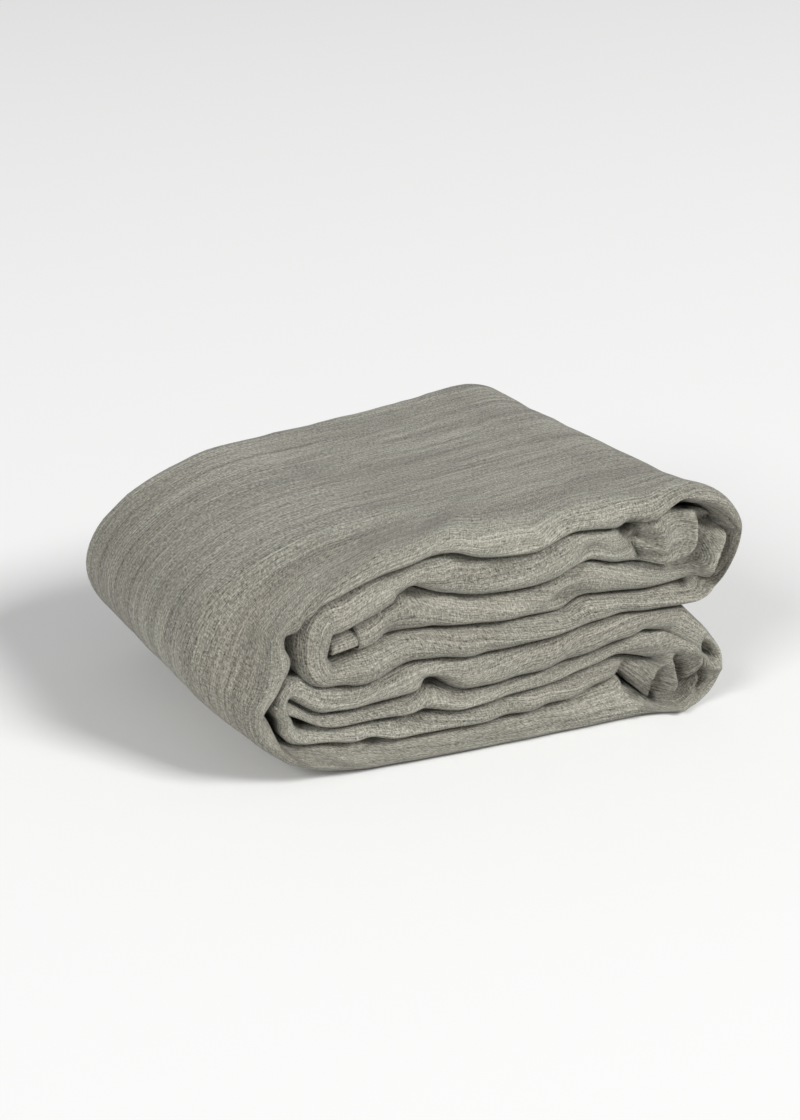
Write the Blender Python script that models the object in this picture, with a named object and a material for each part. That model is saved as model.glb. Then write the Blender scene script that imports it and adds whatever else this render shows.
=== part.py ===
"""A button-closed duvet cover, 220 x 260 cm, folded for the shelf. Metres, +Z up.

The cover is first folded in half three times across its width, into a strip of eight folds whose
last fold lies at the front (-Y). The strip is then rolled inwards from both ends and folded in
half at the spine (-X), so that two flat rolls lie on each other:

    spine  T ------------------- lobe      upper roll, from outside in: T, C, A, B
           A ---------------- )
           B -- hem end      ) )
           C ------------------
           D ------------------
           E -- closed end   ) )
           F ---------------- )
           G ------------------- lobe      lower roll, from outside in: G, D, F, E

The origin is at the middle of the underside. The file models each sewn piece as its own closed
solid. The strip's sixteen cloths, eight of each panel, are simplified: face_panel is the cloth
that wraps the strip all round its front fold, and back_panel is the folded core inside it.
"""

import math

import bmesh
import bpy
from mathutils import Vector

# Driving dimensions of the folded cover.
LENGTH = 0.374  # spine to the tip of the upper lobe, X
DEPTH = 0.295  # front fold to back edge at the lobes, Y
SPINE_DEPTH = 0.247  # the same at the spine, where the front fold draws in
UPPER_LAYER = 0.0224  # one strip layer of the upper roll, with its share of the gap
LOWER_LAYER = 0.0172  # one strip layer of the lower roll, pressed flatter
SPINE_REACH = 0.095  # how far in from the spine the outer layer starts to turn
LOWER_LOBE_SETBACK = 0.008  # the lower lobe ends this much short of the upper one
LOOP_ROOM = 0.0015  # between each roll's inner loop and the spine that it lies in
HEM_END_ROOM = 0.0165  # from the upper loop's centre to the open, hemmed end of the strip
CLOSED_END_ROOM = 0.0020  # from the lower loop's centre to the strip's closed end

# Cloth, sewing and fittings.
LAYER_GAP = 0.0014  # air between neighbouring strip layers
WRAP_WALL = 0.0030  # the face panel's cloths on each side of the core
CLEARANCE = 0.0004  # between one piece and the next
EDGE_CHANNEL = 0.0165  # room behind the core for the side seams, ties and label
SEAM_WIDTH = 0.008  # overlocked seam allowance
SEAM_THICK = 0.0016
HEM_WIDTH = 0.020  # each placket, across the strip's open end
UNDER_HEM_STEP = 0.018  # the button placket shows this much past the buttonhole placket
BUTTON_DIAMETER = 0.015
BUTTON_THICK = 0.0028
BUTTON_COUNT = 7
BUTTON_HOLE_DIAMETER = 0.0018
BUTTON_HOLE_SPACING = 0.0036
TIE_LENGTH = 0.060
TIE_WIDTH = 0.007
TIE_THICK = 0.0012
LABEL_LENGTH = 0.045
LABEL_WIDTH = 0.0100
LABEL_THICK = 0.0008

# How finely the turns are cut.
TURN_STEP = math.radians(22.5)
SPINE_STEPS = 14
RIM_STEPS = 4

# Levels, from the floor up: G, F, E, D in the lower roll and C, B, A, T in the upper one.
LOWER_HALF = (LOWER_LAYER - LAYER_GAP) / 2
UPPER_HALF = (UPPER_LAYER - LAYER_GAP) / 2


def level(index):
    """Height of a strip layer's middle, counted from 0 at the floor to 7 at the top."""
    if index < 4:
        return LOWER_HALF + index * LOWER_LAYER
    return 4 * LOWER_LAYER + UPPER_HALF + (index - 4) * UPPER_LAYER


G, F, E, D, C, B, A, T = (level(i) for i in range(8))
UPPER_TURN = LENGTH - 2 * UPPER_LAYER + LAYER_GAP / 2
LOWER_TURN = LENGTH - LOWER_LOBE_SETBACK - 2 * LOWER_LAYER + LAYER_GAP / 2


def turn(x, z, radius, start, end, half):
    """Stations round a half circle, from angle start to angle end, with the strip's half thickness."""
    steps = max(6, math.ceil(abs(end - start) / TURN_STEP))
    stations = []
    for i in range(steps + 1):
        a = start + (end - start) * i / steps
        stations.append((x + radius * math.cos(a), z + radius * math.sin(a), half))
    return stations


def with_normals(line):
    """Each station with its unit normal, which stays on the left of the strip's run."""
    framed = []
    for i, (x, z, half) in enumerate(line):
        before, after = line[max(i - 1, 0)], line[min(i + 1, len(line) - 1)]
        incoming = Vector((x - before[0], z - before[1]))
        outgoing = Vector((after[0] - x, after[1] - z))
        parts = [v.normalized() for v in (incoming, outgoing) if v.length > 1e-9]
        along = sum(parts, Vector((0, 0))).normalized()
        framed.append((x, z, -along.y, along.x, half))
    return framed


def spine_turn():
    """The outer layer's turn at the spine, from the top down to the floor, half an ellipse."""
    middle, rise = (T + G) / 2, (T - G) / 2
    reach = SPINE_REACH - (UPPER_HALF + LOWER_HALF) / 2
    stations = []
    for i in range(SPINE_STEPS + 1):
        share = i / SPINE_STEPS
        a = math.pi * (0.5 + share)
        half = UPPER_HALF + (LOWER_HALF - UPPER_HALF) * share
        stations.append((SPINE_REACH + reach * math.cos(a), middle + rise * math.sin(a), half))
    return stations


def spine_inside(height):
    """X of the inner side of the spine's turn at a height."""
    wall = sorted((z + half * nz, x + half * nx) for x, z, nx, nz, half in with_normals(spine_turn()))
    for (low, x_low), (high, x_high) in zip(wall, wall[1:]):
        if low <= height <= high:
            return x_low + (x_high - x_low) * (height - low) / (high - low)
    return SPINE_REACH


def loop_centre(z, radius):
    """X of a loop's centre, as near the spine as a loop of this outer radius can lie."""
    angles = (math.radians(90 + i) for i in range(181))
    reach = max(spine_inside(z + radius * math.sin(a)) - radius * math.cos(a) for a in angles)
    return reach + LOOP_ROOM


UPPER_LOOP = loop_centre(B, UPPER_LAYER + UPPER_HALF)
LOWER_LOOP = loop_centre(E, LOWER_LAYER + LOWER_HALF)
HEM_END = UPPER_LOOP + HEM_END_ROOM
CLOSED_END = LOWER_LOOP + CLOSED_END_ROOM


def strip_stations():
    """The strip's middle line as (x, z, half thickness), from its hemmed end to its closed end."""
    quarter = math.pi / 2
    line = [(HEM_END, B, UPPER_HALF), (HEM_END + HEM_WIDTH, B, UPPER_HALF)]
    line += turn(UPPER_TURN, (A + B) / 2, UPPER_LAYER / 2, -quarter, quarter, UPPER_HALF)
    line += turn(UPPER_LOOP, B, UPPER_LAYER, quarter, 3 * quarter, UPPER_HALF)
    line += turn(UPPER_TURN, (T + C) / 2, 1.5 * UPPER_LAYER, -quarter, quarter, UPPER_HALF)
    line += spine_turn()
    line += turn(LOWER_TURN, (D + G) / 2, 1.5 * LOWER_LAYER, -quarter, quarter, LOWER_HALF)
    line += turn(LOWER_LOOP, E, LOWER_LAYER, quarter, 3 * quarter, LOWER_HALF)
    line += turn(LOWER_TURN, (E + F) / 2, LOWER_LAYER / 2, -quarter, quarter, LOWER_HALF)
    line += [(CLOSED_END + SEAM_WIDTH, E, LOWER_HALF), (CLOSED_END, E, LOWER_HALF)]
    return line


def front_edge(x):
    """Y of the strip's front fold at x, which draws in from the upper lobe to the spine."""
    return -DEPTH / 2 + (DEPTH - SPINE_DEPTH) * (1 - x / (LENGTH - UPPER_HALF))


def place(station, y_from_front, across):
    """A point of the strip: y_from_front behind its front fold, across on the normal's side."""
    x, z, nx, nz, _ = station
    return (x + across * nx - LENGTH / 2, front_edge(x) + y_from_front, z + across * nz)


def new_object(name, mesh, material):
    mesh.materials.append(material)
    mesh.update()
    obj = bpy.data.objects.new(name, mesh)
    bpy.context.scene.collection.objects.link(obj)
    return obj


def swept(name, stations, section, material):
    """A closed solid: section(station) gives the outline's points, joined from station to station."""
    bm = bmesh.new()
    rings = [[bm.verts.new(p) for p in section(s)] for s in stations]
    count = len(rings[0])
    for one, two in zip(rings, rings[1:]):
        for i in range(count):
            j = (i + 1) % count
            bm.faces.new((one[i], one[j], two[j], two[i]))
    bm.faces.new(rings[0])
    bm.faces.new(list(reversed(rings[-1])))
    bmesh.ops.recalc_face_normals(bm, faces=bm.faces)
    mesh = bpy.data.meshes.new(name)
    bm.to_mesh(mesh)
    bm.free()
    if sum(f.normal.dot(f.center) * f.area for f in mesh.polygons) < 0:
        mesh.flip_normals()
    return new_object(name, mesh, material)


def back_edge(station):
    """How far behind the front fold the strip's back edge lies at a station."""
    return DEPTH / 2 - front_edge(station[0])


def wrap_section(station, wall=WRAP_WALL):
    """The face panel round the strip: above, round the front fold and below, open at the back."""
    half, back = station[4], back_edge(station)
    outer = [(half * (1 - math.sin(a)), half * math.cos(a)) for a in rim_angles()]
    inner_half = half - wall
    inner = [(half - inner_half * math.sin(a), inner_half * math.cos(a)) for a in rim_angles()]
    outline = [(back, half)] + outer + [(back, -half), (back, -inner_half)]
    outline += list(reversed(inner)) + [(back, inner_half)]
    return [place(station, y, n) for y, n in outline]


def rim_angles():
    """Angles round the front fold, from the strip's upper side to its lower side."""
    return [math.pi * i / RIM_STEPS for i in range(RIM_STEPS + 1)]


def bar_section(y_low, y_high, n_low, n_high):
    """A rectangular section, with its sides given as functions of the station."""

    def section(station):
        y0, y1, n0, n1 = (f(station) for f in (y_low, y_high, n_low, n_high))
        return [place(station, y, n) for y, n in ((y0, n0), (y1, n0), (y1, n1), (y0, n1))]

    return section


def core_half(station):
    return station[4] - WRAP_WALL - CLEARANCE


def core_section(station):
    """The folded core, from inside the front fold to the channel at the back."""
    half, back = core_half(station), back_edge(station)
    nose = station[4]
    outline = [(nose, half), (nose - half * 0.7, half * 0.7), (nose - half, 0)]
    outline += [(nose - half * 0.7, -half * 0.7), (nose, -half)]
    outline += [(back - EDGE_CHANNEL, -half), (back - EDGE_CHANNEL, half)]
    return [place(station, y, n) for y, n in outline]


def seam_section(share):
    """A side seam in the channel behind the core; share places it across the strip's thickness."""
    return bar_section(
        lambda s: back_edge(s) - EDGE_CHANNEL + CLEARANCE,
        lambda s: back_edge(s) - EDGE_CHANNEL + CLEARANCE + SEAM_WIDTH,
        lambda s: share * core_half(s) - SEAM_THICK / 2,
        lambda s: share * core_half(s) + SEAM_THICK / 2,
    )


def flat_run(x_start, x_end, z, half):
    """Two stations of a straight stretch of strip."""
    return with_normals([(x_start, z, half), (x_end, z, half)])


def tie(name, x_start, z, half, share, material):
    """One corner tape, lying along the channel; share places it across the strip's thickness."""
    section = bar_section(
        lambda s: back_edge(s) - TIE_WIDTH - CLEARANCE,
        lambda s: back_edge(s) - CLEARANCE,
        lambda s: share * core_half(s) - TIE_THICK / 2,
        lambda s: share * core_half(s) + TIE_THICK / 2,
    )
    return swept(name, flat_run(x_start, x_start + TIE_LENGTH, z, half), section, material)


def button(name, x, y, z, material):
    """A four-hole button lying flat on the button placket."""
    bm = bmesh.new()
    radius = BUTTON_DIAMETER / 2
    bmesh.ops.create_cone(
        bm, cap_ends=True, segments=24, radius1=radius, radius2=radius, depth=BUTTON_THICK
    )
    mesh = bpy.data.meshes.new(name)
    bm.to_mesh(mesh)
    bm.free()
    obj = new_object(name, mesh, material)
    obj.location = (x - LENGTH / 2, y, z + BUTTON_THICK / 2)
    for sx in (-1, 1):
        for sy in (-1, 1):
            drill(obj, name, sx * BUTTON_HOLE_SPACING / 2, sy * BUTTON_HOLE_SPACING / 2)
    return obj


def drill(obj, name, dx, dy):
    """Cuts one sewing hole through a button with a hidden cylinder."""
    bm = bmesh.new()
    radius = BUTTON_HOLE_DIAMETER / 2
    bmesh.ops.create_cone(
        bm, cap_ends=True, segments=8, radius1=radius, radius2=radius, depth=3 * BUTTON_THICK
    )
    mesh = bpy.data.meshes.new(name + "_drill")
    bm.to_mesh(mesh)
    bm.free()
    cutter = bpy.data.objects.new(name + "_drill", mesh)
    bpy.context.scene.collection.objects.link(cutter)
    cutter.location = obj.location + Vector((dx, dy, 0))
    cutter.hide_render = True
    cutter.display_type = "WIRE"
    cut = obj.modifiers.new("sewing_hole", "BOOLEAN")
    cut.operation = "DIFFERENCE"
    cut.solver = "EXACT"
    cut.object = cutter


def material(name, colour, roughness):
    made = bpy.data.materials.new(name)
    made.use_nodes = True
    shader = made.node_tree.nodes["Principled BSDF"]
    shader.inputs["Base Color"].default_value = (*colour, 1)
    shader.inputs["Roughness"].default_value = roughness
    made.diffuse_color = (*colour, 1)
    return made


def panels(stations, cloth):
    """The two big cloths. The face panel stops where the placket on its open end starts."""
    swept("face_panel", stations[1:], wrap_section, cloth)
    swept("back_panel", stations[1:-1], core_section, cloth)


def open_end(stations, cloth, button_stuff):
    """The hemmed end: two plackets, and the buttons between them."""
    z, half = B, UPPER_HALF
    start, end = HEM_END, HEM_END + HEM_WIDTH
    hem = flat_run(start, end - CLEARANCE, z, half)
    swept("buttonhole_placket", hem, wrap_section, cloth)
    under_half = core_half(hem[0]) / 2
    lift = -core_half(hem[0]) + under_half
    under = flat_run(start - UNDER_HEM_STEP, end - CLEARANCE, z + lift, half)
    section = bar_section(
        lambda s: half,
        lambda s: back_edge(s) - EDGE_CHANNEL,
        lambda s: -under_half,
        lambda s: under_half,
    )
    swept("button_placket", under, section, cloth)
    deck = z + lift + under_half + CLEARANCE
    x = start + (HEM_WIDTH - CLEARANCE) / 2
    first = front_edge(x) + half + BUTTON_DIAMETER
    last = DEPTH / 2 - EDGE_CHANNEL - BUTTON_DIAMETER
    for i in range(BUTTON_COUNT):
        y = first + (last - first) * i / (BUTTON_COUNT - 1)
        button(f"button_{i + 1}", x, y, deck, button_stuff)


def seams(stations, thread):
    """The overlocked seams that join the two panels down both sides and across the closed end."""
    swept("side_seam_left", stations[1:-1], seam_section(-0.35), thread)
    swept("side_seam_right", stations[1:-1], seam_section(-0.80), thread)
    closed = flat_run(CLOSED_END, CLOSED_END + SEAM_WIDTH - CLEARANCE, E, LOWER_HALF)
    section = bar_section(
        lambda s: LOWER_HALF,
        lambda s: back_edge(s) - EDGE_CHANNEL,
        lambda s: -core_half(s),
        lambda s: core_half(s),
    )
    swept("closed_end_seam", closed, section, thread)


def fittings(tape, label):
    """Corner ties at both ends of both side seams, and a blank care label near the open end."""
    ties = (
        ("corner_tie_open_left", HEM_END + HEM_WIDTH, B, UPPER_HALF, 0.35),
        ("corner_tie_open_right", HEM_END + HEM_WIDTH, B, UPPER_HALF, 0.75),
        ("corner_tie_closed_left", CLOSED_END + SEAM_WIDTH, E, LOWER_HALF, 0.35),
        ("corner_tie_closed_right", CLOSED_END + SEAM_WIDTH, E, LOWER_HALF, 0.80),
    )
    for name, x, z, half, share in ties:
        tie(name, x, z, half, share, tape)
    start = HEM_END + HEM_WIDTH + TIE_LENGTH + LABEL_WIDTH
    section = bar_section(
        lambda s: back_edge(s) - LABEL_WIDTH - 2 * CLEARANCE,
        lambda s: back_edge(s) - 2 * CLEARANCE,
        lambda s: 0.45 * core_half(s) - LABEL_THICK / 2,
        lambda s: 0.45 * core_half(s) + LABEL_THICK / 2,
    )
    swept("care_label", flat_run(start, start + LABEL_LENGTH, B, UPPER_HALF), section, label)


def build():
    for obj in list(bpy.data.objects):
        bpy.data.objects.remove(obj)
    cloth = material("grey_melange_cloth", (0.25, 0.24, 0.20), 0.9)
    thread = material("overlock_thread", (0.30, 0.29, 0.25), 0.8)
    tape = material("cotton_tape", (0.55, 0.53, 0.48), 0.85)
    label = material("label_satin", (0.80, 0.79, 0.75), 0.5)
    shell = material("button_resin", (0.34, 0.31, 0.26), 0.35)
    stations = with_normals(strip_stations())
    panels(stations, cloth)
    open_end(stations, cloth, shell)
    seams(stations, thread)
    fittings(tape, label)
    length = sum(
        math.dist(one[:2], two[:2]) for one, two in zip(stations, stations[1:])
    )
    print(f"strip length along its middle line: {length:.3f} m")


build()
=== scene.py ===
# %% [markdown]
# # A folded duvet cover
# This lesson builds a duvet cover that is folded for the shelf. The real one is two panels of
# grey melange cloth, sewn into a bag and closed with buttons. It is folded in half three times
# into a long strip, the strip is rolled inwards from both ends, and the two flat rolls are folded
# onto each other at a soft spine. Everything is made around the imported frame, in metres.

# %% Load the frame
import math

import bmesh
import bpy
import numpy as np
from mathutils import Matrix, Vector


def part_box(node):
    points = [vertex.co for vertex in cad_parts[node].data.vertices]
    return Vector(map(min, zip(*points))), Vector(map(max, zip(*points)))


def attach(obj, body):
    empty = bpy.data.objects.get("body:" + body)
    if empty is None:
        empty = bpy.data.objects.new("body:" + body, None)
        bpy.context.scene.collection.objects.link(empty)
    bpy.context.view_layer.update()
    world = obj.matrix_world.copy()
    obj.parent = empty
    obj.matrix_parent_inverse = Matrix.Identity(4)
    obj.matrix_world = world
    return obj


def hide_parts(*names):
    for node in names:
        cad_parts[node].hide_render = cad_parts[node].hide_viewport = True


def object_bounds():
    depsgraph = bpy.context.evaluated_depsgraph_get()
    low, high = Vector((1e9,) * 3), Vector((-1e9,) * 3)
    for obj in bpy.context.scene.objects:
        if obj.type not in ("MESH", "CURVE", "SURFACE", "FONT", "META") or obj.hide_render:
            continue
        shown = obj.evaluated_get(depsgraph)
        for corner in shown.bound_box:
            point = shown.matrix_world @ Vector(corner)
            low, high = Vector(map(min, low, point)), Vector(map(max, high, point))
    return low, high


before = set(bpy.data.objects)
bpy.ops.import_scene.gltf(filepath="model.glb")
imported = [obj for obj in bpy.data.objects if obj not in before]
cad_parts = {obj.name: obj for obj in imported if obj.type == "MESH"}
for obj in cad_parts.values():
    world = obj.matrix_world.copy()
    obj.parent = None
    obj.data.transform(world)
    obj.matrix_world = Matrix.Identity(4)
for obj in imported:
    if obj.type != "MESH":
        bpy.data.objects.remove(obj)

CAD_BOX = [list(corner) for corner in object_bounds()]
MM = 0.001
print("frame box", CAD_BOX)

# %% [markdown]
# ## The fold lines
# Seen from its front folds, the cover is a stack of eight strip layers. From the top they are
# T, A, B, C in the upper roll and D, E, F, G in the lower one. What makes it look like cloth is
# that no fold line is straight: each wanders up and down where the layers were pushed together.
# A cloth simulation finds such lines by itself, but it can't be told where a fold has to lie. Here
# every line is named and has only the points where it changes direction, in millimetres from the
# spine's outside and from the floor. A layer then lies between two lines.

# %% Where two layers meet, at the front folds
FOLD_LINES = {
    "top": [(60, 133), (84, 144), (111, 154), (138, 159), (163, 163), (186, 157), (222, 154),
            (250, 163), (278, 163), (300, 163), (322, 168), (345, 168)],
    "T/A": [(60, 119), (84, 128), (111, 139), (138, 144), (163, 147), (179, 140), (193, 136),
            (222, 136), (250, 146), (263, 146), (289, 139), (296, 140), (310, 153), (322, 161)],
    "A/B": [(79, 100), (95, 105), (111, 110), (125, 120), (134, 128), (145, 123), (173, 113),
            (222, 111), (236, 114), (246, 121), (264, 124), (279, 119), (300, 115), (330, 114)],
    "B/C": [(60, 88), (84, 88), (111, 92), (135, 99), (159, 94), (187, 92), (245, 89),
            (258, 101), (280, 98), (295, 96), (350, 97)],
    "C/D": [(60, 80), (71, 71), (83, 66), (99, 62), (114, 67), (138, 74), (152, 73), (180, 69),
            (237, 73), (266, 79), (295, 81), (345, 78)],
    "D/E": [(40, 64), (50, 64), (58, 57), (70, 48), (110, 48), (135, 50), (150, 58), (159, 51),
            (167, 46), (194, 45), (253, 54), (282, 61), (296, 69), (320, 63), (345, 52)],
    "E/F": [(40, 53), (52, 51), (60, 46), (70, 40), (83, 37), (125, 37), (166, 32), (196, 35),
            (238, 41), (267, 48), (282, 52), (300, 46), (330, 38)],
    "F/G": [(50, 29), (83, 26), (110, 21), (135, 19), (196, 20), (225, 22), (254, 25),
            (268, 30), (290, 34), (300, 21), (310, 9), (335, 4)],
    "floor": [(40, 0), (374, 0)],
}
C_TOP_AT_LOOP = [(60, 78), (84, 82), (95, 88), (106, 91), (116, 92)]
F_TOP_AT_LOOP = [(50, 41), (60, 42), (70, 39.5), (90, 37), (125, 37)]
LEVELS = {"floor": 0, "F/G": 16, "E/F": 32, "D/E": 48, "C/D": 64, "B/C": 85, "A/B": 106,
          "T/A": 127, "top": 149}
LINE_SOFTNESS = 3.0
HALF_GAP = 0.45


def softened(points, softness=LINE_SOFTNESS):
    """A line through the points with its corners rounded, as a function of x in millimetres."""
    x = np.arange(-60.0, 460.0, 1.0)
    z = np.interp(x, *np.array(points, float).T)
    reach = np.arange(-12, 13)
    weight = np.exp(-0.5 * (reach / softness) ** 2)
    rounded = np.convolve(np.pad(z, 12, "edge"), weight / weight.sum(), "valid")
    return lambda at: np.interp(at, x, rounded)


def front_lines():
    lines = {name: softened(points) for name, points in FOLD_LINES.items()}
    c_loop, f_loop = softened(C_TOP_AT_LOOP), softened(F_TOP_AT_LOOP)
    b_c, e_f = lines["B/C"], lines["E/F"]
    lines["C top"] = lambda x: np.where(x < 112, np.minimum(b_c(x), c_loop(x)), b_c(x))
    lines["F top"] = lambda x: np.where(x < 110, np.minimum(e_f(x), f_loop(x)), e_f(x))
    return lines


def level_lines():
    lines = {name: (lambda x, z=z: np.full(np.shape(x), float(z))) for name, z in LEVELS.items()}
    lines["C top"], lines["F top"] = lines["B/C"], lines["E/F"]
    return lines


# %% [markdown]
# ## The path of the strip
# Each layer is a straight run between two turns. The strip has two sides: the inner one faces
# the middle of its roll, and the outer one shows. A section of the strip is a pair of points, one
# on each side. The same runs and turns are laid out twice: once along the wandering lines, for the
# front, and once along level lines, for the cloth deeper in, which lies flat.

# %% Runs and turns, in order from the hemmed end to the closed end
# A run: name, inner line, outer line, then x of the inner and outer side at its start and end.
FRONT_PATH = {
    "B": ("A/B", "B/C", (97, 97), (311, 311)),
    "A": ("A/B", "T/A", (311, 311), (84, 88)),
    "C": ("C top", "C/D", (84, 88), (322, 330)),
    "T": ("T/A", "top", (322, 322), (67, 84)),
    "G": ("F/G", "floor", (58, 100), (316, 330)),
    "D": ("D/E", "C/D", (316, 336), (50, 60)),
    "F": ("F top", "F/G", (60, 62), (306, 306)),
    "E": ("E/F", "D/E", (306, 306), (50, 45)),
}
DEEP_PATH = {
    "B": ("A/B", "B/C", (97, 97), (320, 320)),
    "A": ("A/B", "T/A", (320, 320), (80, 82)),
    "C": ("C top", "C/D", (80, 82), (322, 324)),
    "T": ("T/A", "top", (322, 324), (120, 138)),
    "G": ("F/G", "floor", (120, 138), (322, 326)),
    "D": ("D/E", "C/D", (322, 326), (70, 72)),
    "F": ("F top", "F/G", (70, 72), (322, 322)),
    "E": ("E/F", "D/E", (322, 322), (77, 77)),
}
# A turn: x that the inner side and the outer side reach.
FRONT_TURNS = {"B>A": (314, 361), "A>C": (81, 57), "F>E": (309, 348)}
DEEP_TURNS = {"B>A": (322, 341), "A>C": (69, 48), "C>T": (348, 373), "G>D": (341, 364),
              "D>F": (61, 46), "F>E": (324, 338), "T>G": (20, 1)}
# The turns whose front folds wander have their points given, inner side first.
TURN_LINES = {
    "C>T": ([(338, 95), (350, 93), (357, 101), (363, 112), (366, 124), (364, 134), (358, 142), (347, 151),
             (333, 158)],
            [(341, 80), (350, 83), (357, 91), (364, 101), (369, 111), (373, 122), (374, 133), (370, 144),
             (362, 155), (351, 163), (338, 168)]),
    "T>G": ([(56, 110), (46, 106), (50, 99), (55, 92), (54, 82), (49, 73), (40, 67), (32, 62), (38, 53),
             (38, 46), (36, 40), (41, 35), (47, 32), (53, 30)],
            [(66, 134), (50, 121), (40, 107), (38, 92), (33, 75), (24, 60), (25, 45), (30, 34), (40, 24),
             (52, 14), (72, 6)]),
    "G>D": ([(329, 6), (337, 11), (344, 16), (348, 25), (348, 34), (345, 42), (334, 51)],
            [(341, 1), (351, 4), (360, 13), (364, 22), (366, 31), (366, 39), (360, 48), (353, 58),
             (344, 68)]),
    "D>F": ([(48, 63), (48, 58), (54, 50), (56, 44)],
            [(50, 77), (42, 69), (39, 57), (45, 49), (44, 40), (51, 31)]),
}
TURN_SOFTNESS = {"C>T": 4.0, "T>G": 2.4, "G>D": 4.0, "D>F": 2.0}
ORDER = ["B", "A", "C", "T", "G", "D", "F", "E"]
STATION_STEP = 3.2


def run_sides(run, lines, count):
    inner, outer, start, end = run
    share = np.linspace(0, 1, count)
    x_in = start[0] + (end[0] - start[0]) * share
    x_out = start[1] + (end[1] - start[1]) * share
    z_in, z_out = lines[inner](x_in), lines[outer](x_out)
    lean = np.sign(z_out - z_in)
    return (np.column_stack([x_in, z_in + HALF_GAP * lean]),
            np.column_stack([x_out, z_out - HALF_GAP * lean]))


def half_turn(start, end, reach, count, square=1.0):
    """Half an ellipse from start to end, whose far side reaches x; below 1, square fills its corners."""
    angle = np.linspace(0, math.pi, count)[:, None]
    middle = (start + end) / 2
    out = np.array([reach - middle[0], 0.0])
    c, s = np.cos(angle), np.sin(angle)
    return middle + (start - middle) * np.sign(c) * np.abs(c) ** square + out * np.abs(s) ** square


def along_points(points, count, softness):
    """Evenly spaced places on a line through the points, with its corners rounded."""
    points = np.array(points, float)
    lengths = np.concatenate([[0], np.cumsum(np.hypot(*np.diff(points, axis=0).T))])
    dense = np.linspace(0, lengths[-1], 400)
    x, z = (np.interp(dense, lengths, c) for c in points.T)
    reach = np.arange(-40, 41)
    weight = np.exp(-0.5 * (reach * dense[1] / softness) ** 2)
    weight /= weight.sum()
    # The ends are mirrored through themselves, so that rounding doesn't move them.
    soft = [np.convolve(np.pad(c, 40, "reflect", reflect_type="odd"), weight, "valid") for c in (x, z)]
    share = np.linspace(0, 399, count)
    return np.column_stack([np.interp(share, np.arange(400), c) for c in soft])


def turn_sides(turn, inner_ends, outer_ends, turns, count, square):
    """Both sides of a turn: through its given points where it has any, else round half an ellipse."""
    if turn in turns:
        inner, outer = turns[turn]
        return half_turn(*inner_ends, inner, count, square), half_turn(*outer_ends, outer, count, square)
    sides = []
    for (start, end), points in zip((inner_ends, outer_ends), TURN_LINES[turn]):
        sides.append(along_points([start] + points + [end], count, TURN_SOFTNESS[turn]))
    return sides


def lay_out(path, turns, lines, counts, square=1.0):
    inner, outer, marks = [], [], []
    sides = {name: run_sides(path[name], lines, counts[name]) for name in ORDER}
    for here, after in zip(ORDER, ORDER[1:] + [None]):
        side_in, side_out = sides[here]
        inner.append(side_in)
        outer.append(side_out)
        marks += [here] * len(side_in)
        if after is None:
            break
        turn = here + ">" + after
        next_in, next_out = sides[after]
        turn_in, turn_out = turn_sides(turn, (side_in[-1], next_in[0]), (side_out[-1], next_out[0]),
                                       turns, counts[turn], square)
        inner.append(turn_in[1:-1])
        outer.append(turn_out[1:-1])
        marks += [turn] * (counts[turn] - 2)
    marks = np.array(marks)
    return eased(np.vstack(inner), marks), eased(np.vstack(outer), marks), marks


# In stations: how far the easing looks, how soft it is, and how far from the bend it counts.
EASE_REACH = 15
EASE_SOFTNESS = 6.0
EASE_SPREAD = 9.0


def eased(side, marks):
    """The side with its bend eased where the spine's wall runs out onto the floor."""
    away = np.arange(len(side)) - np.flatnonzero(marks == "T>G")[-1]
    reach = np.arange(-EASE_REACH, EASE_REACH + 1)
    weight = np.exp(-0.5 * (reach / EASE_SOFTNESS) ** 2)
    weight /= weight.sum()
    padded = np.pad(side, ((EASE_REACH, EASE_REACH), (0, 0)), "edge")
    soft = np.column_stack([np.convolve(c, weight, "valid") for c in padded.T])
    share = np.exp(-0.5 * (away / EASE_SPREAD) ** 2)[:, None]
    return side * (1 - share) + soft * share


def run_counts(path):
    counts = {}
    for name, (_, _, start, end) in path.items():
        counts[name] = max(8, round(abs(sum(end) - sum(start)) / 2 / STATION_STEP))
    counts.update({"B>A": 88, "A>C": 46, "C>T": 88, "T>G": 112, "G>D": 76, "D>F": 46, "F>E": 76})
    return counts


COUNTS = run_counts(FRONT_PATH)
FRONT_IN, FRONT_OUT, MARKS = lay_out(FRONT_PATH, FRONT_TURNS, front_lines(), COUNTS, square=0.75)
DEEP_IN, DEEP_OUT, _ = lay_out(DEEP_PATH, DEEP_TURNS, level_lines(), COUNTS)
STATIONS = len(FRONT_IN)
MIDLINE = (DEEP_IN + DEEP_OUT) / 2
RUN_LENGTH = np.concatenate([[0], np.cumsum(np.hypot(*np.diff(MIDLINE, axis=0).T))]) * MM
print("stations", STATIONS, "strip length", round(RUN_LENGTH[-1], 3), "m")

# %% [markdown]
# ## From the strip's own measures to space
# A point of the strip is named by its station along the path, its depth behind the front fold, and
# its place across the thickness, from -1 at the inner side to 1 at the outer one. One function
# turns these three into metres. Every cloth goes through it, so the cloths of a layer move
# together.

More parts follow.
